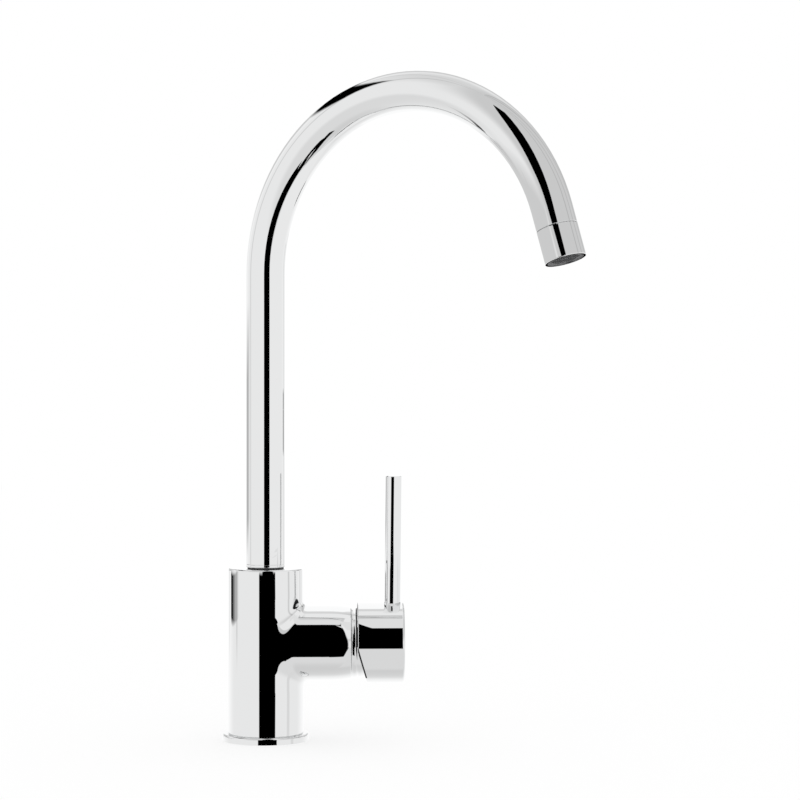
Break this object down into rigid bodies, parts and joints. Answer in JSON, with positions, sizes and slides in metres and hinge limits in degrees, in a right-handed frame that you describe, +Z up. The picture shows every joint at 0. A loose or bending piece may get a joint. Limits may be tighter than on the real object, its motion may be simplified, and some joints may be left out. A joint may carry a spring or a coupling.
{
  "type": "kitchen mixer tap",
  "caption": "Single-lever kitchen mixer tap: upright chrome body with a side arm and rod lever, and a swivelling swan-neck spout that ends in an aerator.",
  "frame": {"origin": "centre of the base flange's underside, where the tap's axis meets the deck", "axes": "+Z up along the body's axis, +X along the side arm towards the lever, -Y to the front"},
  "size_m": [0.2078, 0.1625, 0.3974],
  "materials": {
    "chrome": "polished chrome plate on brass",
    "brass": "turned",
    "steel": "plain stainless",
    "rubber": "matt",
    "dark_plastic": "moulded",
    "pale_plastic": "moulded",
    "ceramic": "lapped"
  },
  "bodies": {
    "body": {"tap_body": "chrome", "base_flange": "chrome", "deck_seal": "rubber", "cartridge_base": "pale_plastic", "port_seals": "rubber", "fixed_disc": "ceramic", "cartridge_housing": "pale_plastic", "cartridge_nut": "brass", "dome_collar": "chrome", "spout_washer": "dark_plastic", "spout_lock_screw": "steel"},
    "spout": {"spout_tube": "chrome", "spout_shank": "chrome", "shank_o_rings": "rubber", "shank_bearings": "dark_plastic", "outlet_nipple": "steel", "aerator_housing": "chrome", "aerator_washer": "rubber", "aerator_screen": "steel", "aerator_insert": "dark_plastic"},
    "turret": {"stem_rotor": "pale_plastic", "rotor_o_ring": "rubber", "stem_pin": "steel"},
    "lever": {"cartridge_stem": "brass", "handle_cap": "chrome", "lever_rod": "chrome", "handle_screw": "steel", "handle_plug": "chrome"},
    "disc": {"moving_disc": "ceramic", "disc_carrier": "pale_plastic"}
  },
  "joints": [
    {"name": "spout_swivel", "type": "hinge", "parent": "body", "child": "spout", "pos_m": [0, 0, 0.104], "axis": [0, 0, 1], "continuous": true},
    {"name": "temperature_turn", "type": "hinge", "parent": "body", "child": "turret", "pos_m": [0.05405, 0, 0.0586], "axis": [1, 0, 0], "range_deg": [-50, 50]},
    {"name": "flow_lift", "type": "hinge", "parent": "turret", "child": "lever", "pos_m": [0.05405, 0, 0.0586], "axis": [0, 1, 0], "range_deg": [0, 22]},
    {"name": "disc_slide", "type": "slide", "parent": "turret", "child": "disc", "axis": [0, 0, 1], "range_m": [0, 0.00604]}
  ],
  "couplings": [
    {"joint": "disc_slide", "follows": "flow_lift", "m_per_rad": 0.015592}
  ]
}
